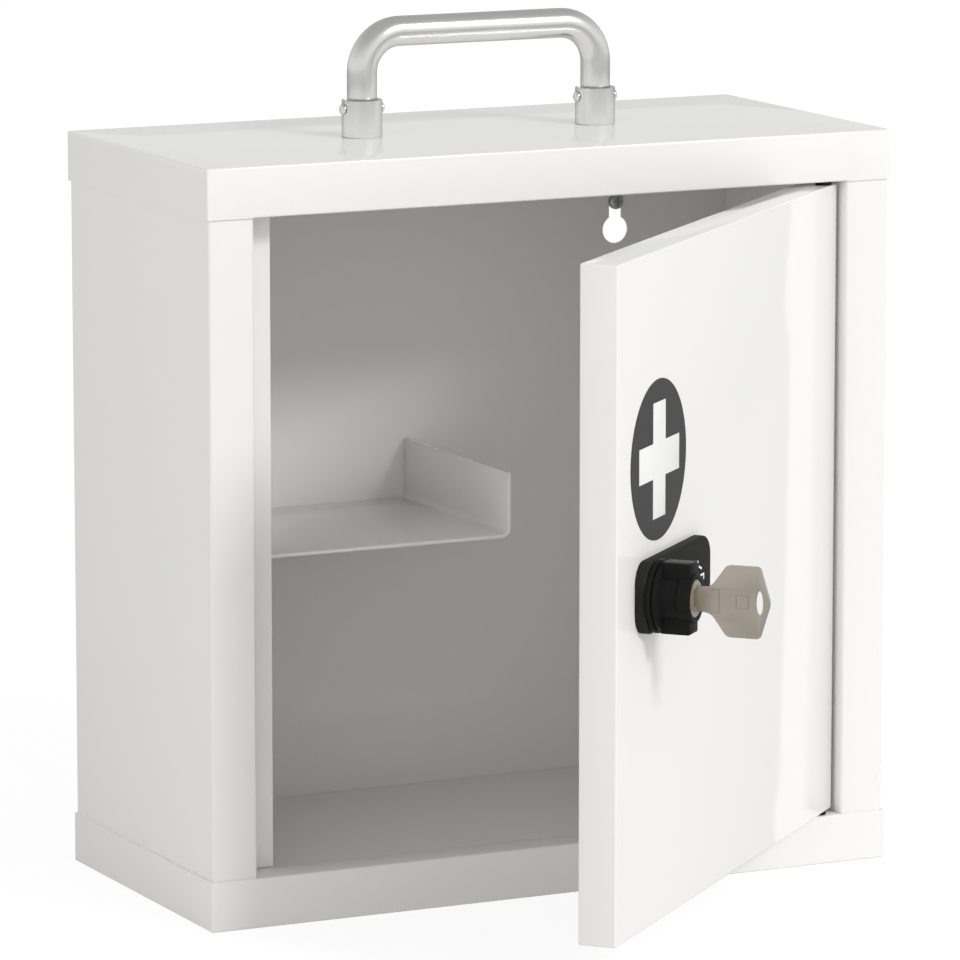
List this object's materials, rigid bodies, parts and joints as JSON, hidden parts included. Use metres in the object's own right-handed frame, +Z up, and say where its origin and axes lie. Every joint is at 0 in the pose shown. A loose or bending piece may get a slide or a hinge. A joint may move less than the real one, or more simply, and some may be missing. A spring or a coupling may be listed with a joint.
{
  "type": "lockable medicine cabinet",
  "caption": "Small white steel wall cabinet with a pivoted door, wing-knob key lock, part-width shelf and folding tubular carrying handle.",
  "frame": {"origin": "centre of the underside of the bottom cap", "axes": "+Z up, -Y out of the door opening, +X towards the hinge side"},
  "size_m": [0.3, 0.338, 0.3475],
  "materials": {
    "white_paint": "semi-gloss white powder coat",
    "polished_steel": "polished",
    "zinc_steel": "zinc plated",
    "black_plastic": "satin black",
    "emblem_grey": "printed film",
    "emblem_white": "printed film",
    "white_print": "printed",
    "nickel_silver": "satin nickel",
    "brass": "plain"
  },
  "bodies": {
    "cabinet": {"left_side_panel": "white_paint", "right_side_panel": "white_paint", "back_panel": "white_paint", "top_cap": "white_paint", "bottom_cap": "white_paint", "floor_panel": "white_paint", "shelf": "white_paint", "hinge_pin_top": "zinc_steel", "hinge_pin_bottom": "zinc_steel", "wall_screws": "zinc_steel", "handle_ferrule_left": "polished_steel", "handle_ferrule_right": "polished_steel", "handle_pin_left": "polished_steel", "handle_pin_right": "polished_steel", "handle_screws": "zinc_steel", "handle_washers": "zinc_steel"},
    "handle": {"handle_tube": "polished_steel"},
    "door": {"door_pan": "white_paint", "hinge_bush_top": "black_plastic", "hinge_bush_bottom": "black_plastic", "emblem_disc": "emblem_grey", "emblem_cross": "emblem_white", "lock_plate": "black_plastic", "lock_marks": "white_print", "lock_ring": "black_plastic", "lock_barrel": "zinc_steel", "lock_nut": "zinc_steel"},
    "lock_knob": {"knob": "black_plastic", "lock_spindle": "zinc_steel", "spacer_washer": "zinc_steel", "lock_cam": "zinc_steel", "cam_washer": "zinc_steel", "cam_screw": "zinc_steel"},
    "lock_cylinder": {"key_cylinder": "nickel_silver", "lock_wafers": "brass"},
    "lock_key": {"key": "nickel_silver"}
  },
  "joints": [
    {"name": "door_hinge", "type": "hinge", "parent": "cabinet", "child": "door", "pos_m": [0.1215, -0.0657, 0.15], "axis": [0, 0, 1], "range_deg": [-42.8, 77.2]},
    {"name": "handle_fold", "type": "hinge", "parent": "cabinet", "child": "handle", "pos_m": [0, 0, 0.3113], "axis": [1, 0, 0], "range_deg": [-90, 0]},
    {"name": "knob_turn", "type": "hinge", "parent": "door", "child": "lock_knob", "pos_m": [-0.03608, -0.21639, 0.15], "axis": [0.6794, -0.7337, 0], "range_deg": [-90, 0]},
    {"name": "key_turn", "type": "hinge", "parent": "lock_knob", "child": "lock_cylinder", "pos_m": [-0.03608, -0.21639, 0.15], "axis": [0.6794, -0.7337, 0], "range_deg": [-90, 0]},
    {"name": "key_pull", "type": "slide", "parent": "lock_cylinder", "child": "lock_key", "axis": [0.6794, -0.7337, 0], "range_m": [0, 0.024]}
  ]
}
